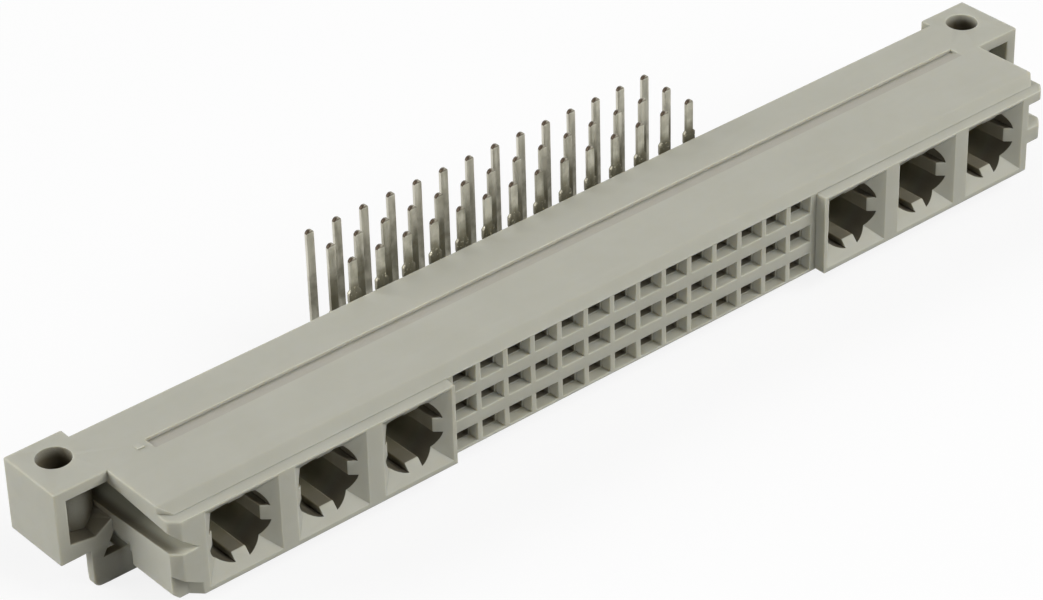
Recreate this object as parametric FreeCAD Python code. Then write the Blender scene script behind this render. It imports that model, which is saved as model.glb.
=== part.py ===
import FreeCAD, Part
import math
import os

# Backplane connector for a board edge: one moulded housing that carries three rows of
# signal contacts, with three round power cavities at each end.
# The frame: X runs along the length, -Y is the side that mates, and Z is up, the way the
# tails point through the circuit board. The origin lies midway between the two board
# screw holes, on the top face that seats against the board. All lengths are in mm.

# Contact grid
pitch = 2.54
column_count = 14
row_names = ("a", "b", "c")
middle_row_depth = 3.95

# Overall length, which the two ends follow
overall_length = 94.0

# Board side
screw_end_distance = 2.55
screw_hole_diameter = 2.6
screw_boss_diameter = 4.7
tail_row_start = 2.34
tail_reach = 2.87

# Insert, the long nose that enters the mating half
insert_overhang = 0.4
insert_height = 7.44
mating_reach = 10.1
nose_chamfer_run = 0.85
nose_chamfer_drop = 0.6
nose_corner_chamfer = 0.7
keel_chamfer = 0.6
side_relief_top = 5.0
side_relief_length = 2.05
side_relief_depth = 1.15

# Rear body and the stop rib under it
body_rear = 1.43
stop_rib_drop = 1.7
stop_rib_thickness = 2.6
stop_plate_inset = 2.5
stop_plate_thickness = 0.77
stop_plate_corner = 0.6
stop_window_margin = 0.95
stop_window_lower_width = 2.05
stop_window_upper_width = 1.1
stop_window_height = 1.88

# End flanges
flange_length = 4.8
flange_front = 3.65
flange_rear = 2.39
flange_height = 5.98
flange_side_wall = 1.0
flange_top_wall = 0.95
flange_floor = 1.1
flange_floor_rise = 0.3
flange_pocket_depth = 3.4
flange_pocket_ramp = 1.4
flange_pocket_ramp_rise = 0.85
outer_edge_radius = 0.18

# Edge line in the top face that marks where the board ends
edge_line_start = -38.55
edge_line_end = 40.6
edge_line_y = -2.42
edge_line_run = 1.35
edge_line_depth = 0.28
edge_nub_x = -39.4
edge_nub_width = 0.6
edge_nub_length = 0.75
edge_nub_height = 0.13

# Power blocks at both ends of the insert
block_projection = 0.96
block_inner_margin = 3.44
block_ledge_drop = 0.65
cavity_count = 3
cavity_pitch = 7.62
cavity_column_gap = 5.08
funnel_width = 6.25
funnel_end_width = 2.1
funnel_slope = 0.9
cavity_bore_diameter = 5.34
cavity_bore_depth = 9.4
cavity_exit_diameter = 4.4
cavity_rib_width = 1.2
cavity_rib_reach = 0.63
cavity_rib_length = 7.0

# Guide grooves in the insert's ends
slant_groove_front_sill = 3.34
slant_groove_front_roof = 1.71
slant_groove_rear_sill = 3.61
slant_groove_rear_roof = 1.06
slant_groove_depth = 2.0
square_groove_sill = 3.72
square_groove_height = 2.18
square_groove_depth = 1.3
lower_step_height = 2.39
lower_step_depth = 1.3
corner_notch_depth = 0.74
corner_notch_width = 2.1
corner_notch_outer_height = 2.5
corner_notch_inner_height = 0.95
corner_notch_slant_rise = 0.4

# Signal openings
recess_width = 2.1
recess_height = 1.47
recess_depth = 0.95
channel_width = 1.84
channel_height = 1.4
channel_end = 1.1
rear_slot_clearance = 0.05

# Signal contacts, stamped from one strip
strip_thickness = 0.3
stem_width = 1.1
stem_rises = (1.4, 0.87, 0.87)
bend_inner_radius = 0.7
tail_width = 0.7
tail_tip_radius = 0.33
tail_tip_flats = 3
shoulder_gap = 0.02
fork_width = 1.7
fork_tip_width = 1.5
fork_front_gap = 0.6
fork_root_length = 2.1
fork_slot_width = 0.7
fork_throat_gap = 0.46
fork_throat_setback = 0.75
fork_lip_gap = 0.9

# Places worked out from the sizes above
mating_y = -mating_reach
block_y = mating_y - block_projection
insert_bottom = -insert_height
half_overall = overall_length / 2.0
half_body = half_overall - flange_length
half_insert = half_body + insert_overhang
screw_spacing = overall_length - 2.0 * screw_end_distance
stop_plate_length = overall_length - 2.0 * stop_plate_inset
stop_window_outer = stop_plate_length / 2.0 - stop_window_margin
cavity_first = (column_count - 1) * pitch / 2.0 + cavity_column_gap
block_inner_edge = cavity_first - block_inner_margin
stop_bottom = insert_bottom - stop_rib_drop
cut_over = 0.5


def box(x0, x1, y0, y1, z0, z1):
    """A box between two corners, given in either order."""
    corner = FreeCAD.Vector(min(x0, x1), min(y0, y1), min(z0, z1))
    return Part.makeBox(abs(x1 - x0), abs(y1 - y0), abs(z1 - z0), corner)


def face_of(points):
    """A flat face with straight sides through the points."""
    closed = [FreeCAD.Vector(*p) for p in points]
    closed.append(closed[0])
    return Part.Face(Part.makePolygon(closed))


def prism(points, direction):
    """The face through the points, pushed along a direction."""
    return face_of(points).extrude(FreeCAD.Vector(*direction))


def column_x(index):
    """The X place of a signal column, counted from 0 at the -X end."""
    return (index - (column_count - 1) / 2.0) * pitch


def row_z(row):
    """The height of a signal row, 0 nearest the board."""
    return -middle_row_depth + (1 - row) * pitch


def tail_y(row):
    """Where a row's tails stand: the lowest row reaches furthest back."""
    return tail_row_start + row * pitch


def edges_along(shape, direction, test):
    """The straight edges of a shape that run along a direction and whose middle passes."""
    found = []
    for edge in shape.Edges:
        ends = [v.Point for v in edge.Vertexes]
        run = ends[-1].sub(ends[0])
        if run.cross(FreeCAD.Vector(*direction)).Length < 1e-6:
            if test((ends[0] + ends[-1]) * 0.5):
                found.append(edge)
    return found


def insert_body():
    """The nose: a long bar with a chamfered top front edge and chamfered lower ends."""
    section = [
        (-half_insert, mating_y, insert_bottom),
        (-half_insert, mating_y, -nose_chamfer_drop),
        (-half_insert, mating_y + nose_chamfer_run, 0.0),
        (-half_insert, -flange_front, 0.0),
        (-half_insert, -flange_front, insert_bottom),
    ]
    return prism(section, (2.0 * half_insert, 0, 0))


def keel_cuts():
    """Wedges that chamfer the insert's two lower side edges."""
    cuts = []
    for side in (-1, 1):
        x = side * half_insert
        over = side * cut_over
        wedge = [
            (x + over, block_y - cut_over, insert_bottom - cut_over),
            (x - side * keel_chamfer - over, block_y - cut_over, insert_bottom - cut_over),
            (x + over, block_y - cut_over, insert_bottom + keel_chamfer + cut_over),
        ]
        cuts.append(prism(wedge, (0, -flange_front - block_y + cut_over, 0)))
    return cuts


def corner_cut(x, y, run, low, high):
    """A tool that bevels the upright corner at (x, y) across its outer, front side."""
    side = 1 if x > 0 else -1
    outer = x + side * cut_over
    plan = [
        (outer, y + run + cut_over, low),
        (x - side * (run + cut_over), y - cut_over, low),
        (outer, y - cut_over, low),
    ]
    return prism(plan, (0, 0, high - low))


def power_block(side):
    """The raised block round three power cavities, with a bevelled outer corner."""
    outer = side * half_insert
    block = box(
        side * block_inner_edge, outer,
        block_y, mating_y + nose_chamfer_run,
        insert_bottom, -block_ledge_drop,
    )
    return block.cut(
        corner_cut(outer, block_y, nose_corner_chamfer, insert_bottom, -block_ledge_drop)
    )


def side_relief(side):
    """The relief in the insert's side, just in front of the stop plate."""
    return box(
        side * (half_insert - side_relief_depth), side * (half_insert + cut_over),
        -flange_front - side_relief_length, -flange_front,
        insert_bottom - cut_over, -side_relief_top,
    )


def edge_nub():
    """The small raised ramp that stands at the edge line's -X end."""
    rear = edge_line_y
    front = rear - edge_nub_length
    start = edge_nub_x - edge_nub_width / 2.0
    section = [
        (start, rear, -edge_line_depth),
        (start, rear, 0.0),
        (start, front, edge_nub_height),
        (start, front, -edge_line_depth),
    ]
    return prism(section, (edge_nub_width, 0, 0))


def rear_body():
    """The body behind the insert, with the stop rib that the mating rim meets."""
    body = box(-half_body, half_body, -flange_front, body_rear, insert_bottom, 0.0)
    rib = box(
        -half_body, half_body,
        -flange_front, -flange_front + stop_rib_thickness,
        stop_bottom, insert_bottom,
    )
    plate = box(
        -stop_plate_length / 2.0, stop_plate_length / 2.0,
        -flange_front, -flange_front + stop_plate_thickness,
        stop_bottom, -flange_height,
    )
    corners = edges_along(plate, (0, 1, 0), lambda middle: middle.z < insert_bottom)
    return [body, rib, plate.makeFillet(stop_plate_corner, corners)]


def stop_window(side):
    """The slanted window in the stop plate beside the insert."""
    outer = side * stop_window_outer
    inner = outer - side * stop_window_lower_width
    top = -side_relief_top
    bottom = top - stop_window_height
    front = -flange_front - cut_over
    section = [
        (outer, front, bottom),
        (inner, front, bottom),
        (inner, front, top),
        (outer - side * stop_window_upper_width, front, top),
    ]
    return prism(section, (0, cut_over + stop_rib_thickness + cut_over, 0))


def flange(side):
    """One end flange: a block with rounded outer edges."""
    block = box(
        side * half_body, side * half_overall,
        -flange_front, flange_rear, -flange_height, 0.0,
    )
    outer = edges_along(block, (0, 0, 1), lambda middle: abs(middle.x) > half_body)
    return block.makeFillet(outer_edge_radius, outer)


def flange_pocket(side):
    """The hollow behind the flange's open front, as a tool: its back is the round boss."""
    inner = side * half_insert
    outer = side * (half_overall - flange_side_wall)
    front = -flange_front - cut_over
    floor = -flange_height + flange_floor
    section = [
        (inner, front, -flange_top_wall),
        (outer, front, -flange_top_wall),
        (outer, front, floor + flange_floor_rise),
        (inner + side * flange_pocket_ramp, front, floor),
        (inner, front, floor + flange_pocket_ramp_rise),
    ]
    hollow = prism(section, (0, cut_over + flange_pocket_depth, 0))
    return hollow.cut(screw_cylinder(side, screw_boss_diameter))


def screw_cylinder(side, diameter):
    """A cylinder on a screw hole's axis, longer than the flange is high."""
    start = FreeCAD.Vector(side * screw_spacing / 2.0, 0, -flange_height - cut_over)
    return Part.makeCylinder(diameter / 2.0, flange_height + 2 * cut_over, start)


def edge_line():
    """The shallow line in the top face: a steep rear wall and a long front slope."""
    section = [
        (edge_line_start, edge_line_y, cut_over),
        (edge_line_start, edge_line_y, -edge_line_depth),
        (edge_line_start, edge_line_y - edge_line_run, 0.0),
        (edge_line_start, edge_line_y - edge_line_run, cut_over),
    ]
    return prism(section, (edge_line_end - edge_line_start, 0, 0))


def slant_section(y, sill, roof, over):
    """The slanted groove's section at a place along Y: a flat sill under a slanted roof."""
    x = -half_insert
    slope = (sill - roof) / slant_groove_depth
    points = [
        (x + slant_groove_depth, y, -sill),
        (x - over, y, -sill),
        (x - over, y, -roof + slope * over),
    ]
    return face_of(points)


def slant_groove():
    """The guide groove at the -X end, which widens from the front to the flange."""
    front = (slant_groove_front_sill, slant_groove_front_roof)
    rear = (slant_groove_rear_sill, slant_groove_rear_roof)
    front_face = slant_section(block_y, *front, cut_over)
    rear_face = slant_section(-flange_front, *rear, cut_over)
    flare = Part.makeLoft([front_face.OuterWire, rear_face.OuterWire], True, True)
    entry = front_face.extrude(FreeCAD.Vector(0, -cut_over, 0))
    runout = slant_section(-flange_front, *rear, 0.0)
    return flare.fuse([entry, runout.extrude(FreeCAD.Vector(0, flange_pocket_depth, 0))])


def end_recess(depth, back, low, high):
    """A square recess in the insert's +X end, bevelled where it meets the front."""
    outer = half_insert + cut_over
    wall = half_insert - depth
    front = block_y - cut_over
    plan = [
        (wall, back, low),
        (outer, back, low),
        (outer, front, low),
        (wall - nose_corner_chamfer - cut_over, front, low),
        (wall, block_y + nose_corner_chamfer, low),
    ]
    return prism(plan, (0, 0, high - low))


def square_groove():
    """The guide groove at the +X end, with square walls."""
    return end_recess(
        square_groove_depth,
        -flange_front + flange_pocket_depth,
        -square_groove_sill,
        -square_groove_sill + square_groove_height,
    )


def lower_step():
    """The step under the lower block of the +X end."""
    return end_recess(
        lower_step_depth,
        -flange_front,
        insert_bottom - cut_over,
        insert_bottom + lower_step_height,
    )


def corner_notch():
    """The notch in the lower front corner of the -X end, with a slanted roof."""
    x = -half_insert
    front = block_y - cut_over
    depth = corner_notch_depth + cut_over
    inner = x + corner_notch_width
    inner_top = insert_bottom + corner_notch_inner_height
    roof = [
        (x - cut_over, front, insert_bottom - cut_over),
        (x - cut_over, front, insert_bottom + corner_notch_outer_height),
        (inner - corner_notch_depth, front, inner_top + corner_notch_slant_rise),
        (inner, front, inner_top),
        (inner, front, insert_bottom - cut_over),
    ]
    plan = [
        (x - cut_over, front, insert_bottom - cut_over),
        (inner + cut_over, front, insert_bottom - cut_over),
        (inner - corner_notch_depth, front + depth, insert_bottom - cut_over),
        (x - cut_over, front + depth, insert_bottom - cut_over),
    ]
    tall = insert_height + cut_over
    return prism(roof, (0, depth, 0)).common(prism(plan, (0, 0, tall)))


def square_funnel(x):
    """A four-sided funnel on a power cavity's axis, widest at the block's front."""
    inner_half = funnel_end_width / 2.0
    outer_half = funnel_width / 2.0 + cut_over / funnel_slope
    depth = (outer_half - inner_half) * funnel_slope
    front = block_y - cut_over
    z = -middle_row_depth
    return Part.makeWedge(
        x - outer_half, front, z - outer_half, z - inner_half, x - inner_half,
        x + outer_half, front + depth, z + outer_half, z + inner_half, x + inner_half,
    )


def power_cavity(x):
    """One power cavity as a tool: a square funnel, a ribbed bore and a narrower exit."""
    axis = FreeCAD.Vector(0, 1, 0)
    bore_radius = cavity_bore_diameter / 2.0
    bore_start = FreeCAD.Vector(x, block_y - cut_over, -middle_row_depth)
    bore = Part.makeCylinder(bore_radius, cavity_bore_depth + cut_over, bore_start, axis)
    for turn in range(4):
        rib = box(
            bore_radius - cavity_rib_reach, bore_radius + cut_over,
            block_y - cut_over, block_y + cavity_rib_length,
            -cavity_rib_width / 2.0, cavity_rib_width / 2.0,
        )
        rib.rotate(FreeCAD.Vector(0, 0, 0), axis, 90.0 * turn)
        rib.translate(FreeCAD.Vector(x, 0, -middle_row_depth))
        bore = bore.cut(rib)
    exit_start = FreeCAD.Vector(x, block_y + cavity_bore_depth, -middle_row_depth)
    exit_length = body_rear + cut_over - exit_start.y
    rear_exit = Part.makeCylinder(cavity_exit_diameter / 2.0, exit_length, exit_start, axis)
    return bore.fuse([square_funnel(x), rear_exit])


def signal_opening(column, row):
    """One signal opening as a tool: front recess, spring channel and rear stem slot."""
    x = column_x(column)
    z = row_z(row)
    slot_half_width = stem_width / 2.0 + rear_slot_clearance
    slot_half_height = strip_thickness / 2.0 + rear_slot_clearance
    recess = box(
        x - recess_width / 2.0, x + recess_width / 2.0,
        mating_y - cut_over, mating_y + recess_depth,
        z - recess_height / 2.0, z + recess_height / 2.0,
    )
    channel = box(
        x - channel_width / 2.0, x + channel_width / 2.0,
        mating_y, -channel_end,
        z - channel_height / 2.0, z + channel_height / 2.0,
    )
    slot = box(
        x - slot_half_width, x + slot_half_width,
        -channel_end - recess_depth, body_rear + cut_over,
        z - slot_half_height, z + slot_half_height,
    )
    return recess.fuse([channel, slot])


def make_housing():
    """The moulded housing: solid forms first, then every opening in one cut."""
    forms = [power_block(-1), power_block(1), flange(-1), flange(1), edge_nub()]
    insert = insert_body()
    for side in (-1, 1):
        corner = side * half_insert
        insert = insert.cut(
            corner_cut(corner, mating_y, nose_chamfer_run, -block_ledge_drop, cut_over)
        )
    housing = insert.fuse(forms + rear_body()).removeSplitter()
    cuts = [edge_line(), slant_groove(), square_groove(), lower_step(), corner_notch()]
    cuts += keel_cuts()
    for side in (-1, 1):
        cuts += [flange_pocket(side), screw_cylinder(side, screw_hole_diameter)]
        cuts += [side_relief(side), stop_window(side)]
        for index in range(cavity_count):
            cuts.append(power_cavity(side * (cavity_first + index * cavity_pitch)))
    for row in range(len(row_names)):
        for column in range(column_count):
            cuts.append(signal_opening(column, row))
    return housing.cut(cuts).removeSplitter()


def bend_start(row):
    """Where a row's stem ends and its bend begins."""
    return tail_y(row) - strip_thickness / 2.0 - bend_inner_radius


def contact_blade(row):
    """The flat part: the fork that grips the mating pin, and the stem behind it."""
    root = -channel_end - shoulder_gap
    front = mating_y + recess_depth + fork_front_gap
    throat = front + fork_throat_setback
    half_stem = stem_width / 2.0
    right = [
        (fork_slot_width / 2.0, root - fork_root_length),
        (fork_throat_gap / 2.0, throat),
        (fork_lip_gap / 2.0, front),
        (fork_tip_width / 2.0, front),
        (fork_width / 2.0, throat),
        (fork_width / 2.0, root),
        (half_stem, root),
        (half_stem, bend_start(row)),
    ]
    left = [(-x, y) for x, y in reversed(right)]
    low = -strip_thickness / 2.0
    outline = [(x, y, low) for x, y in right + left]
    return prism(outline, (0, 0, strip_thickness))


def contact_bend(row):
    """The quarter turn from the stem up into the tail."""
    half = strip_thickness / 2.0
    outer = bend_inner_radius + strip_thickness
    centre = FreeCAD.Vector(-stem_width / 2.0, bend_start(row), half + bend_inner_radius)
    turn = Part.makeCylinder(outer, stem_width, centre, FreeCAD.Vector(1, 0, 0))
    core = Part.makeCylinder(bend_inner_radius, stem_width, centre, FreeCAD.Vector(1, 0, 0))
    quarter = box(
        -stem_width / 2.0, stem_width / 2.0,
        centre.y, centre.y + outer,
        centre.z - outer, centre.z,
    )
    return turn.cut(core).common(quarter)


def contact_tail(row):
    """The tail: a wide foot, a shoulder, and a narrow post with a rounded tip."""
    low = strip_thickness / 2.0 + bend_inner_radius
    tip_centre = tail_reach - row_z(row) - tail_tip_radius
    half_foot = stem_width / 2.0
    half_post = tail_width / 2.0
    right = [
        (half_foot, low),
        (half_foot, stem_rises[row]),
        (half_post, stem_rises[row] + half_foot - half_post),
    ]
    for step in range(tail_tip_flats + 1):
        turn = math.radians(90.0 * step / tail_tip_flats)
        inset = tail_tip_radius * (1.0 - math.cos(turn))
        right.append((half_post - inset, tip_centre + tail_tip_radius * math.sin(turn)))
    left = [(-x, z) for x, z in reversed(right)]
    y = tail_y(row) - strip_thickness / 2.0
    outline = [(x, y, z) for x, z in right + left]
    return prism(outline, (0, strip_thickness, 0))


def make_contact(row):
    """One signal contact with its row's own reach, still at the middle of the grid."""
    pieces = [contact_bend(row), contact_tail(row)]
    return contact_blade(row).fuse(pieces).removeSplitter()


def save(shape, name):
    """Write one closed solid as parts/NAME.step."""
    solids = shape.Solids
    if len(solids) != 1 or not shape.isValid():
        raise ValueError("%s is not one closed solid" % name)
    solids[0].exportStep("parts/%s.step" % name)


def main():
    os.makedirs("parts", exist_ok=True)
    save(make_housing(), "housing")
    for row, row_name in enumerate(row_names):
        contact = make_contact(row)
        for column in range(column_count):
            placed = contact.copy()
            placed.translate(FreeCAD.Vector(column_x(column), 0, row_z(row)))
            save(placed, "contact_%s%02d" % (row_name, column + 1))


main()
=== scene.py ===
import math

import bmesh
import bpy
from mathutils import Matrix, Vector
from mathutils.kdtree import KDTree


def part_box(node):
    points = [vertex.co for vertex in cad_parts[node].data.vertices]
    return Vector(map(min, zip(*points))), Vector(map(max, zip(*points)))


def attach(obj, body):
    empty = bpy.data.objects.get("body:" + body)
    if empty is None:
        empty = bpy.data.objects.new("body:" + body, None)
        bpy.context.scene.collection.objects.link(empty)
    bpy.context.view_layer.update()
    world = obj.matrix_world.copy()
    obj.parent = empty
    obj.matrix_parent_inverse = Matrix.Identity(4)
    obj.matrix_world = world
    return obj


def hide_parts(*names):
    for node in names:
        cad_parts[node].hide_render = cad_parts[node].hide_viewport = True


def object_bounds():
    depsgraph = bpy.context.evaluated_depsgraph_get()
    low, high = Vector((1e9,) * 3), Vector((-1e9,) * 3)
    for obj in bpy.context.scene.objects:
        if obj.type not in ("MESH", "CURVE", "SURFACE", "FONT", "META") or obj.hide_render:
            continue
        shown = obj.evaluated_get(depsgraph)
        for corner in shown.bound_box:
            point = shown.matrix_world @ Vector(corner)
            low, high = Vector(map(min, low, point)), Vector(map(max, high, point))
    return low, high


# The backplane connector's looks, in metres, in the same frame as its solids:
# X along the length, -Y the mating side, +Z up the way the tails point.

MM = 0.001

# The view of the photograph: the lens and sensor in millimetres, the camera's place, the ways
# in which the picture's right, its down and its depth run, and how near and far it sees
VIEW_LENS = 125.85
VIEW_SENSOR = 36.0
VIEW_PLACE = (-0.14847, -0.17541, 0.14492)
VIEW_RIGHT = (0.7590, -0.6507, -0.0232)
VIEW_DOWN = (-0.3737, -0.4062, -0.8339)
VIEW_FORWARD = (0.5332, 0.6416, -0.5515)
VIEW_NEAR = 0.01
VIEW_FAR = 10.0

# Soft lamps: azimuth and elevation in degrees, distance and width in metres, and level
SOFTBOXES = {
    "front_softbox": (301.0, 39.0, 0.7, 0.52, 0.91),
    "left_softbox": (146.0, 21.0, 1.2, 0.70, 0.71),
    "near_left_softbox": (210.0, 9.0, 1.2, 0.40, 0.22),
    "rear_softbox": (73.0, 37.0, 0.6, 0.36, 0.22),
}

# Watts that light a facing surface one metre away to a level of 1
LEVEL_POWER = 9.86

# The surround's strength as light and where it is seen, the floor's half width, and how much
# of the floor glows where it is seen
SURROUND_LIGHT = 0.03
SURROUND_SEEN = 1.0
FLOOR_HALF = 1.5
FLOOR_GLOW = 0.85

# Contact grid
PITCH = 2.54 * MM
COLUMNS = 14
ROWS = ("a", "b", "c")
ROW_TONE_SEED = {"a": 3, "b": 11, "c": 23}

# Signal openings, power cavities and screw holes, in millimetres
OPENING_STEP = -9.14
CAVITY_FIRST = 21.59
CAVITY_PITCH = 7.62
CAVITY_LAST = 2.0
CAVITY_HEIGHT = -3.95
BORE_RADIUS = 2.67
SCREW_HOLE_X = 44.45
SCREW_HOLE_RADIUS = 1.3

# Rounding of the moulded and the stamped edges: its radius and its steps, the shares of the
# wall beside an edge and of a short edge that it takes, and how much flats outweigh it
MOULD_RADIUS = 0.13 * MM
MOULD_STEPS = 2
STAMPED_RADIUS = 0.05 * MM
STAMPED_STEPS = 1
WALL_SHARE = 0.13
SHORT_SHARE = 0.4
FLAT_WEIGHT = 50

# What counts as one point, as a tiny arc's edge, as a fine facet and as one plane
MERGE_DISTANCE = 0.0002 * MM
TINY_EDGE = 0.03 * MM
FINE_FACET = 0.12 * MM
SAME_PLANE = 0.004 * MM

# What counts as in line, by the cosine, and as a sharp edge or a corner, by the turn
IN_LINE = -0.9
SHARP_ANGLE = math.radians(28.0)
CORNER_ANGLE = math.radians(62.0)

# How far apart the marks on an edge lie, and how many it has at least
SAMPLE_STEP = 0.3 * MM
FEWEST_SAMPLES = 3

# Colours, linear
PLASTIC = (0.462, 0.457, 0.386, 1.0)
PLASTIC_PALE = (0.500, 0.497, 0.429, 1.0)
PLASTIC_DEEP = (0.405, 0.394, 0.322, 1.0)
# Painted shade on the sloping band beside the edge line
PLASTIC_BAND_SHADE = (0.400, 0.380, 0.322, 1.0)
# Painted shade in the screw holes, signal openings, -X end's hollows and power cavities
PLASTIC_PAINTED_SHADE = (0.115, 0.096, 0.058, 1.0)
# Painted shade at the bores' mouths, and a lighter painted shade deep inside the bores
BORE_MOUTH_SHADE = (0.040, 0.034, 0.022, 1.0)
BORE_DEEP_SHADE = (0.362, 0.342, 0.232, 1.0)
TIN = (0.84, 0.82, 0.73, 1.0)
# Dull tin for streaks and cut tips, also painted shade toward the feet and on the stems' flanks
TIN_DULL_AND_SHADE = (0.30, 0.285, 0.225, 1.0)
# Painted highlight: bright glints by the front row's feet
PAINTED_TIN_GLINT = (0.86, 0.82, 0.66, 1.0)
CUT_END = (0.070, 0.053, 0.038, 1.0)
FORK_BRONZE = (0.42, 0.30, 0.17, 1.0)
FLOOR_TONE = (0.28, 0.28, 0.28, 1.0)
WHITE = (1.0, 1.0, 1.0, 1.0)

# How much of its colour each mark, painted shade or painted glint takes
CLOUD_SHARE = 0.35
FLOW_SHARE = 0.30
SPECK_SHARE = 0.25
BAND_SHADE_SHARE = 0.85
PAINTED_SHADE_SHARE = 0.95
END_SHADE_SHARE = 0.9
MOUTH_SHADE_SHARE = 0.6
FOOT_SHADE_SHARE = 0.75
STAIN_SHARE = 0.3
TONE_SHARE = 0.25
STREAK_SHARE = 0.28
TIP_SHARE = 0.8
FORK_COAT = 0.5

# Noise patterns: scale per millimetre, detail and stretch, and the ramp each one goes through
CLOUDS = (0.16, 3.0), (0.35, 0.65, 0.0, 1.0)
FLOW_MARKS = (0.5, 4.0, (0.35, 1.6, 1.6)), (0.45, 0.75, 0.0, 1.0)
SPECKS = (5.5, 2.0), (0.66, 0.78, 0.0, 0.6)
PLASTIC_ROUGHNESS = (0.9, 4.0), (0.3, 0.7, 0.46, 0.60)
PLASTIC_GRAIN = (7.0, 3.0)
STREAKS = (2.6, 4.0, (1.0, 1.0, 0.08)), (0.3, 0.7, 0.0, 1.0)
STAINS = (1.1, 3.0), (0.35, 0.7, 0.0, 1.0)
PAINTED_GLINTS = (4.5, 2.0), (0.62, 0.70, 0.0, 1.0)
TIN_ROUGHNESS = (3.0, 3.0, (1.0, 1.0, 0.15)), (0.3, 0.7, 0.38, 0.55)
TIN_GROOVES = (9.0, 3.0, (1.0, 1.0, 0.06))

# The depth and strength of each finish's fine relief
PLASTIC_RELIEF = (0.012 * MM, 0.35)
TIN_RELIEF = (0.02 * MM, 0.5)

# The plastic's gloss, and how light scatters in it
PLASTIC_GLOSS = 0.25
SCATTER_WEIGHT = 1.0
SCATTER_RADIUS = (1.0, 0.9, 0.7)
SCATTER_SCALE = 0.7 * MM

# Ramps: two values, here places in millimetres or ways that a surface faces, and what each
# of them becomes
BORE_WALL = (0.97 * BORE_RADIUS, 0.985 * BORE_RADIUS, 0.0, 0.9)
BORE_RIM = (1.003 * BORE_RADIUS, 1.015 * BORE_RADIUS, 1.0, 0.0)
BORE_DEEPENING = (-11.2, -7.5, 0.15, 1.0)
BORE_RIBS = (-10.7, -10.0, 0.0, 0.86)
BORE_SIDES = (0.12, 0.30, 1.0, 0.0)
BORE_BEHIND_RIBS = (-8.0, -6.0, 0.0, 1.0)
BORE_END = (0.9, 1.2, 1.0, 0.0)
BORE_MOUTH_FADE = (-9.5, -6.5, 1.0, 0.0)
BORE_TONE_FADE = (-9.5, -6.0, 0.0, 1.0)
OPENING_MIDDLE = (18.0, 18.2, 1.0, 0.0)
OPENING_WALLS = (OPENING_STEP, OPENING_STEP + 0.12, 0.0, 0.75)
OPENING_DEEPENING = (OPENING_STEP, OPENING_STEP + 1.2, 0.0, 1.0)
OPENING_BACK = (-1.2, -1.1, 1.0, 0.0)
OPENING_BOTTOM = (-7.3, -7.25, 0.0, 1.0)
OPENING_TOP = (-0.68, -0.62, 1.0, 0.0)
SCREW_HOLE_RIM = (1.02 * SCREW_HOLE_RADIUS, 1.06 * SCREW_HOLE_RADIUS, 1.0, 0.0)
SCREW_HOLE_DEEPENING = (-1.0, 0.1, 1.0, 0.0)
HOLLOW_END = (-42.3, -41.4, 1.0, 0.0)
HOLLOW_FRONTS = (-0.9, -0.5, 1.0, 0.0)
HOLLOW_LIFT = (-6.6, -5.6, -0.10, 0.16)
HOLLOW_SHADE = (0.28, 0.92, 1.0, 0.0)
BAND_LEFT = (-38.6, -38.5, 0.0, 1.0)
BAND_RIGHT = (40.5, 40.6, 1.0, 0.0)
BAND_FRONT = (-3.8, -3.7, 0.0, 1.0)
BAND_REAR = (-2.43, -2.41, 1.0, 0.0)
BAND_HEIGHT = (-0.4, -0.3, 0.0, 1.0)
FOOT_HEIGHT = (-0.4, 1.6, 1.0, 0.0)
FOOT_ROWS = (2.6, 7.6, 1.0, 0.2)
STEM_SHADE = (-3.0, 0.8, 0.37, 0.0)
# Darker in the front row
FRONT_ROW_DARKENING = (2.6, 4.6, 0.25, 0.0)
DULL_AND_SHADE_RANGE = (0.15, 1.15, 0.0, 1.0)
PAINTED_GLINT_HEIGHT = (0.2, 0.7, 1.0, 0.0)
PAINTED_GLINT_ROW = (3.0, 3.3, 1.0, 0.0)
FLANK_SHADE = (0.4, 0.8, 0.0, 0.4)
TIP_HEIGHT = (2.2, 2.5, 0.0, 1.0)
TIP_TOPS = (0.08, 0.24, 0.0, 1.0)
CUT_FACES = (-0.2, 0.15, 1.0, 0.3)
FORK_PLACE = (-6.0, -5.0, 1.0, 0.0)

# The ambient occlusion that finds the -X end's hollows, where shade is painted
HOLLOW_SAMPLES = 6
HOLLOW_REACH = 8.0 * MM


def plain_tree(material):
    """Gives a material an empty node tree with its output."""
    material.use_nodes = True
    tree = material.node_tree
    tree.nodes.clear()
    output = tree.nodes.new("ShaderNodeOutputMaterial")
    return tree, output


def join(tree, source, target):
    """Joins two sockets."""
    tree.links.new(source, target)


def millimetres(tree, scale=(1.0, 1.0, 1.0)):
    """Object coordinates in millimetres, stretched by a scale."""
    place = tree.nodes.new("ShaderNodeTexCoord")
    mapping = tree.nodes.new("ShaderNodeMapping")
    mapping.inputs["Scale"].default_value = [s / MM for s in scale]
    join(tree, place.outputs["Object"], mapping.inputs["Vector"])
    return mapping.outputs["Vector"]


def noise(tree, scale, detail, stretch=(1.0, 1.0, 1.0)):
    """A noise pattern, its scale per millimetre."""
    node = tree.nodes.new("ShaderNodeTexNoise")
    node.inputs["Scale"].default_value = scale
    node.inputs["Detail"].default_value = detail
    join(tree, millimetres(tree, stretch), node.inputs["Vector"])
    return node.outputs["Fac"]


def span(tree, value, low, high, to_low, to_high):
    """Maps a value's range onto another, clamped and eased."""
    node = tree.nodes.new("ShaderNodeMapRange")
    node.interpolation_type = "SMOOTHSTEP"
    node.inputs["From Min"].default_value = low
    node.inputs["From Max"].default_value = high
    node.inputs["To Min"].default_value = to_low
    node.inputs["To Max"].default_value = to_high
    join(tree, value, node.inputs["Value"])
    return node.outputs["Result"]


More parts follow.
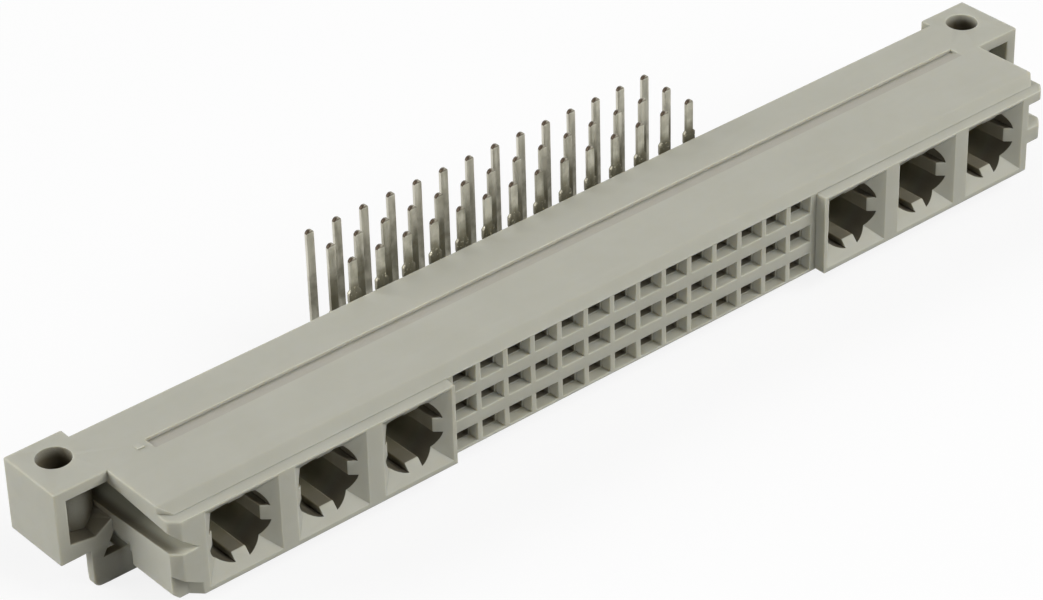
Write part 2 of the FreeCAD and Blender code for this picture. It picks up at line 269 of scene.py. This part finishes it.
def sums(tree, kind, first, second):
    """A Math node on two sockets or numbers."""
    node = tree.nodes.new("ShaderNodeMath")
    node.operation = kind
    for socket, value in zip(node.inputs, (first, second)):
        if isinstance(value, float):
            socket.default_value = value
        else:
            join(tree, value, socket)
    return node.outputs[0]


def product(tree, first, *others):
    """Multiplies sockets or numbers."""
    for other in others:
        first = sums(tree, "MULTIPLY", first, other)
    return first


def highest(tree, first, *others):
    """The highest of some sockets."""
    for other in others:
        first = sums(tree, "MAXIMUM", first, other)
    return first


def total(tree, first, *others):
    """Adds sockets."""
    for other in others:
        first = sums(tree, "ADD", first, other)
    return first


def unsigned(tree, value):
    """A socket's value without its sign."""
    return sums(tree, "ABSOLUTE", value, 0.0)


def pattern(tree, texture, ramp):
    """A noise pattern through a ramp."""
    return span(tree, noise(tree, *texture), *ramp)


def blend(tree, amount, first, second):
    """Mixes two colours, each a socket or a plain colour, by an amount."""
    node = tree.nodes.new("ShaderNodeMix")
    node.data_type = "RGBA"
    join(tree, amount, node.inputs[0])
    for socket, value in zip((node.inputs[6], node.inputs[7]), (first, second)):
        if isinstance(value, tuple):
            socket.default_value = value
        else:
            join(tree, value, socket)
    return node.outputs[2]


def axis_of(tree, vector, axis):
    """One coordinate of a vector socket."""
    node = tree.nodes.new("ShaderNodeSeparateXYZ")
    join(tree, vector, node.inputs[0])
    return node.outputs[axis]


def coordinates(tree):
    """A point's three object coordinates in millimetres."""
    place = millimetres(tree)
    return [axis_of(tree, place, axis) for axis in "XYZ"]


def relief(tree, height, distance, strength):
    """A bump from a height pattern."""
    node = tree.nodes.new("ShaderNodeBump")
    node.inputs["Distance"].default_value = distance
    node.inputs["Strength"].default_value = strength
    join(tree, height, node.inputs["Height"])
    return node.outputs["Normal"]


def surface_turn(tree, axis):
    """How far a surface faces along an axis."""
    shape = tree.nodes.new("ShaderNodeNewGeometry")
    return axis_of(tree, shape.outputs["Normal"], axis)


def from_axis(tree, across, along):
    """The distance from an axis, from two coordinates across it."""
    squares = [product(tree, value, value) for value in (across, along)]
    return sums(tree, "SQRT", total(tree, *squares), 0.0)


def bore_depth(tree):
    """How far inside a power cavity's bore a point lies, and how near its mouth on the wall, for
    painted shade.
    """
    along, back, height = coordinates(tree)
    outward = sums(tree, "SUBTRACT", unsigned(tree, along), CAVITY_FIRST)
    number = sums(tree, "ROUND", sums(tree, "DIVIDE", outward, CAVITY_PITCH), 0.0)
    number = sums(tree, "MINIMUM", sums(tree, "MAXIMUM", number, 0.0), CAVITY_LAST)
    across = sums(tree, "SUBTRACT", outward, product(tree, number, CAVITY_PITCH))
    far = from_axis(tree, across, sums(tree, "SUBTRACT", height, CAVITY_HEIGHT))
    wall = span(tree, far, *BORE_WALL)
    deepening = [span(tree, back, *ramp) for ramp in (BORE_DEEPENING, BORE_RIBS)]
    deep = highest(tree, wall, *deepening)
    sides = span(tree, unsigned(tree, surface_turn(tree, "Y")), *BORE_SIDES)
    sides = highest(tree, sides, span(tree, back, *BORE_BEHIND_RIBS))
    inside = product(tree, span(tree, far, *BORE_RIM), sides)
    mouth = product(tree, wall, span(tree, back, *BORE_MOUTH_FADE), inside)
    return product(tree, deep, inside, span(tree, back, *BORE_END)), mouth


def opening_depth(tree):
    """How deep in a signal opening a point lies, behind its front recess, for painted shade."""
    along, back, height = coordinates(tree)
    deepening = [span(tree, back, *ramp) for ramp in (OPENING_WALLS, OPENING_DEEPENING)]
    return product(
        tree,
        highest(tree, *deepening),
        span(tree, back, *OPENING_BACK),
        span(tree, unsigned(tree, along), *OPENING_MIDDLE),
        span(tree, height, *OPENING_BOTTOM),
        span(tree, height, *OPENING_TOP),
    )


def screw_hole_depth(tree):
    """How deep in a screw hole a point lies, for painted shade."""
    along, back, height = coordinates(tree)
    outward = sums(tree, "SUBTRACT", unsigned(tree, along), SCREW_HOLE_X)
    inside = span(tree, from_axis(tree, outward, back), *SCREW_HOLE_RIM)
    return product(tree, inside, span(tree, height, *SCREW_HOLE_DEEPENING))


def end_hollows(tree):
    """Painted shade by ambient occlusion in the -X end's hollows: flange, insert side, stop plate.
    """
    shade = tree.nodes.new("ShaderNodeAmbientOcclusion")
    shade.samples = HOLLOW_SAMPLES
    shade.only_local = True
    shade.inputs["Distance"].default_value = HOLLOW_REACH
    along, _, height = coordinates(tree)
    fronts = span(tree, surface_turn(tree, "Y"), *HOLLOW_FRONTS)
    lift = product(tree, fronts, span(tree, height, *HOLLOW_LIFT))
    light = total(tree, shade.outputs["AO"], lift)
    return product(tree, span(tree, light, *HOLLOW_SHADE), span(tree, along, *HOLLOW_END))


def edge_band(tree):
    """Where the band beside the edge line lies in the top face, where shade is painted."""
    along, back, height = coordinates(tree)
    return product(
        tree,
        span(tree, along, *BAND_LEFT),
        span(tree, along, *BAND_RIGHT),
        span(tree, back, *BAND_FRONT),
        span(tree, back, *BAND_REAR),
        span(tree, height, *BAND_HEIGHT),
    )


def moulded_colour_and_band_shade(tree):
    """The plastic's own colour: faint clouds, flow marks and specks, with painted shade on the
    band beside the edge line.
    """
    colour = blend(tree, product(tree, pattern(tree, *CLOUDS), CLOUD_SHARE), PLASTIC, PLASTIC_PALE)
    flow = product(tree, pattern(tree, *FLOW_MARKS), FLOW_SHARE)
    colour = blend(tree, flow, colour, PLASTIC_PALE)
    specks = product(tree, pattern(tree, *SPECKS), SPECK_SHARE)
    colour = blend(tree, specks, colour, PLASTIC_DEEP)
    # Painted shade on the band beside the edge line
    return blend(tree, product(tree, edge_band(tree), BAND_SHADE_SHARE), colour, PLASTIC_BAND_SHADE)


def with_painted_shade(tree, colour):
    """Paints shade into a colour in the screw holes, signal openings, end hollows and power
    cavities.
    """
    ends = product(tree, end_hollows(tree), END_SHADE_SHARE)
    inner = highest(tree, screw_hole_depth(tree), opening_depth(tree), ends)
    # Painted shade in the screw holes, signal openings and end hollows
    colour = blend(tree, product(tree, inner, PAINTED_SHADE_SHARE), colour, PLASTIC_PAINTED_SHADE)
    bores, mouths = bore_depth(tree)
    _, back, _ = coordinates(tree)
    # Painted shade in the bores: darkest by the mouth, lighter deeper in
    tone = blend(tree, span(tree, back, *BORE_TONE_FADE), PLASTIC_PAINTED_SHADE, BORE_DEEP_SHADE)
    colour = blend(tree, product(tree, bores, PAINTED_SHADE_SHARE), colour, tone)
    return blend(tree, product(tree, mouths, MOUTH_SHADE_SHARE), colour, BORE_MOUTH_SHADE)


def glass_filled_plastic():
    """Pale grey-beige moulded plastic, satin, slightly translucent; painted shade in hollows and
    by the edge line.
    """
    material = bpy.data.materials.new("glass_filled_plastic")
    tree, output = plain_tree(material)
    shader = tree.nodes.new("ShaderNodeBsdfPrincipled")
    join(tree, with_painted_shade(tree, moulded_colour_and_band_shade(tree)), shader.inputs["Base Color"])
    join(tree, pattern(tree, *PLASTIC_ROUGHNESS), shader.inputs["Roughness"])
    grain = relief(tree, noise(tree, *PLASTIC_GRAIN), *PLASTIC_RELIEF)
    join(tree, grain, shader.inputs["Normal"])
    shader.inputs["Specular IOR Level"].default_value = PLASTIC_GLOSS
    shader.inputs["Subsurface Weight"].default_value = SCATTER_WEIGHT
    shader.inputs["Subsurface Radius"].default_value = SCATTER_RADIUS
    shader.inputs["Subsurface Scale"].default_value = SCATTER_SCALE
    join(tree, shader.outputs[0], output.inputs["Surface"])
    return material


def streaked_and_shaded_tin(tree, back, height):
    """The tin's colour: streaked and stained, painted shade toward the feet, down the stems and on
    the flanks, darker in the front row, painted glints by the front row's feet.
    """
    tone = tree.nodes.new("ShaderNodeAttribute")
    tone.attribute_name = "tone"
    # Painted shade toward the feet and down the stems, most in the front row
    foot_shade = product(tree, span(tree, height, *FOOT_HEIGHT), span(tree, back, *FOOT_ROWS))
    dull_and_shade = total(
        tree,
        product(tree, foot_shade, FOOT_SHADE_SHARE),
        product(tree, pattern(tree, *STAINS), STAIN_SHARE),
        product(tree, tone.outputs["Fac"], TONE_SHARE),
        span(tree, height, *STEM_SHADE),
        span(tree, back, *FRONT_ROW_DARKENING),
    )
    colour = blend(tree, span(tree, dull_and_shade, *DULL_AND_SHADE_RANGE), TIN, TIN_DULL_AND_SHADE)
    streaks = product(tree, pattern(tree, *STREAKS), STREAK_SHARE)
    colour = blend(tree, streaks, colour, TIN_DULL_AND_SHADE)
    # Painted highlights: glints near the front row's feet
    low = product(tree, span(tree, height, *PAINTED_GLINT_HEIGHT), span(tree, back, *PAINTED_GLINT_ROW))
    colour = blend(tree, product(tree, pattern(tree, *PAINTED_GLINTS), low), colour, PAINTED_TIN_GLINT)
    # Painted shade on the stems' flanks
    flank_shade = span(tree, unsigned(tree, surface_turn(tree, "X")), *FLANK_SHADE)
    return blend(tree, flank_shade, colour, TIN_DULL_AND_SHADE)


def cut_tips(tree, colour, height):
    """Darkens the tops of the tips, most on the side where the cut is bare."""
    tip = span(tree, height, *TIP_HEIGHT)
    top = product(tree, span(tree, surface_turn(tree, "Z"), *TIP_TOPS), tip)
    colour = blend(tree, product(tree, top, TIP_SHARE), colour, TIN_DULL_AND_SHADE)
    bare = product(tree, span(tree, surface_turn(tree, "X"), *CUT_FACES), top)
    return blend(tree, bare, colour, CUT_END)


def tinned_alloy():
    """The contacts' metal: dull drawn tin with painted shade and glints, bare cut tips and bronze
    forks.
    """
    material = bpy.data.materials.new("tinned_alloy")
    tree, output = plain_tree(material)
    shader = tree.nodes.new("ShaderNodeBsdfPrincipled")
    _, back, height = coordinates(tree)
    fork = span(tree, back, *FORK_PLACE)
    colour = cut_tips(tree, streaked_and_shaded_tin(tree, back, height), height)
    join(tree, blend(tree, fork, colour, FORK_BRONZE), shader.inputs["Base Color"])
    bare_metal = sums(tree, "SUBTRACT", 1.0, product(tree, fork, FORK_COAT))
    join(tree, bare_metal, shader.inputs["Metallic"])
    join(tree, pattern(tree, *TIN_ROUGHNESS), shader.inputs["Roughness"])
    grooves = relief(tree, noise(tree, *TIN_GROOVES), *TIN_RELIEF)
    join(tree, grooves, shader.inputs["Normal"])
    join(tree, shader.outputs[0], output.inputs["Surface"])
    return material


def seen_directly(tree):
    """1 where the camera, gloss or glass looks, and 0 where light is gathered."""
    path = tree.nodes.new("ShaderNodeLightPath")
    kinds = ("Is Camera Ray", "Is Glossy Ray", "Is Transmission Ray")
    return highest(tree, *(path.outputs[kind] for kind in kinds))


def pale_floor():
    """The plain pale floor: white to the camera and in gloss, with the object's soft shadow."""
    material = bpy.data.materials.new("pale_floor")
    tree, output = plain_tree(material)
    matt = tree.nodes.new("ShaderNodeBsdfDiffuse")
    glow = tree.nodes.new("ShaderNodeEmission")
    glow.inputs["Color"].default_value = WHITE
    glow.inputs["Strength"].default_value = SURROUND_SEEN
    seen = seen_directly(tree)
    mix = tree.nodes.new("ShaderNodeMixShader")
    join(tree, blend(tree, seen, FLOOR_TONE, WHITE), matt.inputs["Color"])
    join(tree, product(tree, seen, FLOOR_GLOW), mix.inputs[0])
    join(tree, matt.outputs[0], mix.inputs[1])
    join(tree, glow.outputs[0], mix.inputs[2])
    join(tree, mix.outputs[0], output.inputs["Surface"])
    return material


def lay_floor(height):
    """A wide floor under the connector."""
    turns = ((-1.0, -1.0), (1.0, -1.0), (1.0, 1.0), (-1.0, 1.0))
    corners = [(FLOOR_HALF * x, FLOOR_HALF * y, height) for x, y in turns]
    mesh = bpy.data.meshes.new("floor")
    mesh.from_pydata(corners, [], [(0, 1, 2, 3)])
    mesh.materials.append(pale_floor())
    floor = bpy.data.objects.new("floor", mesh)
    bpy.context.scene.collection.objects.link(floor)


def soft_world():
    """An even pale surround: white where the camera or gloss sees it, softer as light."""
    world = bpy.data.worlds.new("soft_surround")
    bpy.context.scene.world = world
    world.use_nodes = True
    tree = world.node_tree
    tree.nodes.clear()
    output = tree.nodes.new("ShaderNodeOutputWorld")
    light = tree.nodes.new("ShaderNodeBackground")
    light.inputs["Strength"].default_value = SURROUND_LIGHT
    white = tree.nodes.new("ShaderNodeBackground")
    white.inputs["Strength"].default_value = SURROUND_SEEN
    seen = seen_directly(tree)
    mix = tree.nodes.new("ShaderNodeMixShader")
    join(tree, seen, mix.inputs[0])
    join(tree, light.outputs[0], mix.inputs[1])
    join(tree, white.outputs[0], mix.inputs[2])
    join(tree, mix.outputs[0], output.inputs["Surface"])


def softbox(name, azimuth, elevation, distance, size, level):
    """A square area lamp that looks at the connector's middle, its angles in degrees."""
    lamp = bpy.data.lights.new(name, "AREA")
    lamp.shape = "SQUARE"
    lamp.size = size
    lamp.energy = LEVEL_POWER * level * distance ** 2
    around, above = math.radians(azimuth), math.radians(elevation)
    flat = math.cos(above)
    outward = Vector((flat * math.cos(around), flat * math.sin(around), math.sin(above)))
    holder = bpy.data.objects.new(name, lamp)
    holder.location = distance * outward
    holder.rotation_euler = (-outward).to_track_quat("-Z", "Y").to_euler()
    bpy.context.scene.collection.objects.link(holder)


def photograph_camera():
    """The camera, at the photograph's viewing angle."""
    lens = bpy.data.cameras.new("photograph_view")
    lens.sensor_width = VIEW_SENSOR
    lens.lens = VIEW_LENS
    lens.clip_start = VIEW_NEAR
    lens.clip_end = VIEW_FAR
    camera = bpy.data.objects.new("photograph_view", lens)
    columns = [Vector(VIEW_RIGHT), -Vector(VIEW_DOWN), -Vector(VIEW_FORWARD)]
    turn = Matrix([[column[row] for column in columns] for row in range(3)]).to_4x4()
    camera.matrix_world = Matrix.Translation(VIEW_PLACE) @ turn
    bpy.context.scene.collection.objects.link(camera)
    bpy.context.scene.camera = camera


def joined_copy(node, radius, shift=0.0):
    """A copy of a node's mesh, its loose triangles joined and its edges weighted for rounding."""
    form = bmesh.new()
    form.from_mesh(node.data)
    bmesh.ops.remove_doubles(form, verts=form.verts, dist=MERGE_DISTANCE)
    bmesh.ops.translate(form, verts=form.verts, vec=(shift, 0.0, 0.0))
    square_corners(form)
    weigh_edges(form, radius)
    mesh = bpy.data.meshes.new(node.name + "_joined")
    form.to_mesh(mesh)
    form.free()
    mesh.shade_smooth()
    return mesh


def tiny_arcs(form):
    """The groups of points that very short edges join, in the mesh's own order."""
    tiny = {edge for edge in form.edges if edge.calc_length() < TINY_EDGE}
    left = {vert for edge in tiny for vert in edge.verts}
    groups = []
    for first in form.verts:
        if first not in left:
            continue
        left.remove(first)
        group = [first]
        for vert in group:
            for edge in vert.link_edges:
                other = edge.other_vert(vert)
                if edge in tiny and other in left:
                    left.remove(other)
                    group.append(other)
        groups.append(group)
    return groups


def square_corners(form):
    """Draws each tiny arc out to the corner that it rounds, so that the bevel rounds it."""
    moves = {}
    for group in tiny_arcs(form):
        corner = []
        for axis in range(3):
            places = [vert.co[axis] for vert in group]
            middle = sum(places) / len(places)
            corner.append(min(min(places), max(places), key=lambda place: abs(place - middle)))
        kept = group[0]
        kept.co = corner
        moves.update({vert: kept for vert in group[1:]})
    bmesh.ops.weld_verts(form, targetmap=moves)


def sharp_edges(form):
    """The edges where a form turns sharply."""
    return [
        edge for edge in form.edges
        if len(edge.link_faces) == 2 and edge.calc_face_angle(0.0) > SHARP_ANGLE
    ]


def points_on(edge):
    """Points spread along an edge."""
    first, last = edge.verts[0].co, edge.verts[1].co
    count = max(FEWEST_SAMPLES, int((last - first).length / SAMPLE_STEP))
    return [first.lerp(last, (index + 0.5) / count) for index in range(count)]


def weigh_edges(form, radius):
    """Gives each outer sharp edge a rounding weight that suits the wall beside it."""
    weight = form.edges.layers.float.new("bevel_weight_edge")
    sharp = sharp_edges(form)
    outline = set(sharp)
    runs = smooth_runs(sharp, outline)
    marks = [(point, number) for number, edge in enumerate(sharp) for point in points_on(edge)]
    near = KDTree(len(marks))
    for index, (point, _) in enumerate(marks):
        near.insert(point, index)
    near.balance()
    reach = radius / WALL_SHARE
    for edge in sharp:
        if edge.calc_face_angle_signed(0.0) <= 0.0:
            edge.smooth = False
            continue
        fine = edge.calc_length() < FINE_FACET
        wall = reach
        if not all(followers(edge, vert, outline) for vert in edge.verts):
            wall = min(reach, SHORT_SHARE * edge.calc_length() / WALL_SHARE)
        for point in points_on(edge):
            for other, index, distance in near.find_range(point, wall):
                rival = sharp[marks[index][1]]
                one_arc = fine and runs[rival] == runs[edge]
                if distance < wall and not one_arc and not set(rival.verts) & set(edge.verts):
                    if beside(edge, point, other):
                        wall = distance
        edge[weight] = WALL_SHARE * wall / radius


def followers(edge, vert, outline):
    """The sharp edges that carry on nearly in line past one end of an edge."""
    along = (edge.other_vert(vert).co - vert.co).normalized()
    return [
        other for other in vert.link_edges
        if other is not edge and other in outline
        and along.dot((other.other_vert(vert).co - vert.co).normalized()) < IN_LINE
    ]


def smooth_runs(sharp, outline):
    """Numbers each sharp edge by the smooth run of edges that it belongs to."""
    runs = {}
    for number, first in enumerate(sharp):
        front = [first]
        while front:
            edge = front.pop()
            if edge not in runs:
                runs[edge] = number
                for vert in edge.verts:
                    front.extend(followers(edge, vert, outline))
    return runs


def beside(edge, point, other):
    """Whether another point lies on one of the two faces that meet at an edge."""
    return any(abs(face.normal.dot(other - point)) < SAME_PLANE for face in edge.link_faces)


def plain_mesh(piece):
    """Turns a piece and its modifiers into one plain mesh."""
    graph = bpy.context.evaluated_depsgraph_get()
    mesh = bpy.data.meshes.new_from_object(piece.evaluated_get(graph))
    mesh.name = piece.name
    piece.modifiers.clear()
    piece.data = mesh


def keep_corners(mesh):
    """Marks as sharp the inner corners, and the outer ones that no rounding softens."""
    form = bmesh.new()
    form.from_mesh(mesh)
    for edge in form.edges:
        turn = edge.calc_face_angle_signed(0.0) if len(edge.link_faces) == 2 else 0.0
        if turn < -SHARP_ANGLE or turn > CORNER_ANGLE:
            edge.smooth = False
    form.to_mesh(mesh)
    form.free()


def round_edges(piece, radius, steps):
    """Rounds a piece's weighted edges with a narrow bevel, and keeps flats and corners true."""
    bevel = piece.modifiers.new("rounded_edges", "BEVEL")
    bevel.width = radius
    bevel.segments = steps
    bevel.limit_method = "WEIGHT"
    bevel.use_clamp_overlap = False
    bevel.loop_slide = False
    plain_mesh(piece)
    keep_corners(piece.data)
    flats = piece.modifiers.new("flat_faces", "WEIGHTED_NORMAL")
    flats.mode = "FACE_AREA"
    flats.weight = FLAT_WEIGHT
    flats.keep_sharp = True


def new_piece(name, mesh):
    """A new object at the origin."""
    piece = bpy.data.objects.new(name, mesh)
    bpy.context.scene.collection.objects.link(piece)
    return piece


def moulded_housing(nodes, plastic):
    """The housing with the small radii that moulding leaves on its edges."""
    mesh = joined_copy(nodes["housing"], MOULD_RADIUS)
    piece = new_piece("moulded_housing", mesh)
    round_edges(piece, MOULD_RADIUS, MOULD_STEPS)
    plain_mesh(piece)
    piece.data.materials.clear()
    piece.data.materials.append(plastic)
    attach(piece, "root")
    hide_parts("housing")


def row_tree():
    """Geometry nodes that set one contact at every column of a row."""
    tree = bpy.data.node_groups.new("contact_row", "GeometryNodeTree")
    face = tree.interface
    face.new_socket("Contact", in_out="INPUT", socket_type="NodeSocketGeometry")
    face.new_socket("Pitch", in_out="INPUT", socket_type="NodeSocketFloat")
    face.new_socket("Columns", in_out="INPUT", socket_type="NodeSocketInt")
    face.new_socket("Tone Seed", in_out="INPUT", socket_type="NodeSocketInt")
    face.new_socket("Metal", in_out="INPUT", socket_type="NodeSocketMaterial")
    face.new_socket("Row", in_out="OUTPUT", socket_type="NodeSocketGeometry")
    given = tree.nodes.new("NodeGroupInput")
    made = tree.nodes.new("NodeGroupOutput")

    steps = sums(tree, "SUBTRACT", given.outputs["Columns"], 1.0)
    start = product(tree, steps, -0.5, given.outputs["Pitch"])
    start_point = tree.nodes.new("ShaderNodeCombineXYZ")
    join(tree, start, start_point.inputs["X"])
    step = tree.nodes.new("ShaderNodeCombineXYZ")
    join(tree, given.outputs["Pitch"], step.inputs["X"])

    line = tree.nodes.new("GeometryNodeMeshLine")
    line.mode = "OFFSET"
    join(tree, given.outputs["Columns"], line.inputs["Count"])
    join(tree, start_point.outputs[0], line.inputs["Start Location"])
    join(tree, step.outputs[0], line.inputs["Offset"])
    place = tree.nodes.new("GeometryNodeInstanceOnPoints")
    join(tree, line.outputs[0], place.inputs["Points"])
    join(tree, given.outputs["Contact"], place.inputs["Instance"])

    tone = tree.nodes.new("FunctionNodeRandomValue")
    tone.data_type = "FLOAT"
    join(tree, given.outputs["Tone Seed"], tone.inputs["Seed"])
    keep = tree.nodes.new("GeometryNodeStoreNamedAttribute")
    keep.data_type = "FLOAT"
    keep.domain = "INSTANCE"
    keep.inputs["Name"].default_value = "tone"
    join(tree, place.outputs[0], keep.inputs["Geometry"])
    join(tree, tone.outputs[1], keep.inputs["Value"])
    whole = tree.nodes.new("GeometryNodeRealizeInstances")
    join(tree, keep.outputs[0], whole.inputs["Geometry"])
    metal = tree.nodes.new("GeometryNodeSetMaterial")
    join(tree, whole.outputs[0], metal.inputs["Geometry"])
    join(tree, given.outputs["Metal"], metal.inputs["Material"])
    join(tree, metal.outputs[0], made.inputs["Row"])
    return tree


def socket_names(tree):
    """The identifier of each input of a node group, by its name."""
    return {
        item.name: item.identifier
        for item in tree.interface.items_tree
        if item.item_type == "SOCKET" and item.in_out == "INPUT"
    }


def contact_row(nodes, tree, row, alloy):
    """One row of stamped contacts, their edges rounded as stamping and tinning leave them."""
    names = ["contact_%s%02d" % (row, column + 1) for column in range(COLUMNS)]
    low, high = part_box(names[0])
    middle = (low[0] + high[0]) / 2.0
    mesh = joined_copy(nodes[names[0]], STAMPED_RADIUS, -middle)
    piece = new_piece("contact_row_" + row, mesh)
    round_edges(piece, STAMPED_RADIUS, STAMPED_STEPS)
    plain_mesh(piece)

    spread = piece.modifiers.new("spread", "NODES")
    spread.node_group = tree
    sockets = socket_names(tree)
    spread[sockets["Pitch"]] = PITCH
    spread[sockets["Columns"]] = COLUMNS
    spread[sockets["Tone Seed"]] = ROW_TONE_SEED[row]
    spread[sockets["Metal"]] = alloy
    plain_mesh(piece)
    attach(piece, "root")
    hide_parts(*names)


def light_studio():
    """Soft lamps round the connector, the strongest in front and behind on the left."""
    soft_world()
    for name, setting in SOFTBOXES.items():
        softbox(name, *setting)


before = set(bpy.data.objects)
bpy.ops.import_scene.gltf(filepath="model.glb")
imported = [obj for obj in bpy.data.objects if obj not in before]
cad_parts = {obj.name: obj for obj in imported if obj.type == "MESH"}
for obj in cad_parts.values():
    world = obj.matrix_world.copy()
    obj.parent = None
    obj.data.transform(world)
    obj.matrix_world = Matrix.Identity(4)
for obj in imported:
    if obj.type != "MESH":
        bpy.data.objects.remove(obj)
cad_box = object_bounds()
photograph_camera()
light_studio()
lay_floor(cad_box[0][2])
moulded_housing(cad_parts, glass_filled_plastic())
row_nodes = row_tree()
alloy = tinned_alloy()
for row_name in ROWS:
    contact_row(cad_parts, row_nodes, row_name, alloy)
bpy.context.scene.view_settings.view_transform = "Standard"
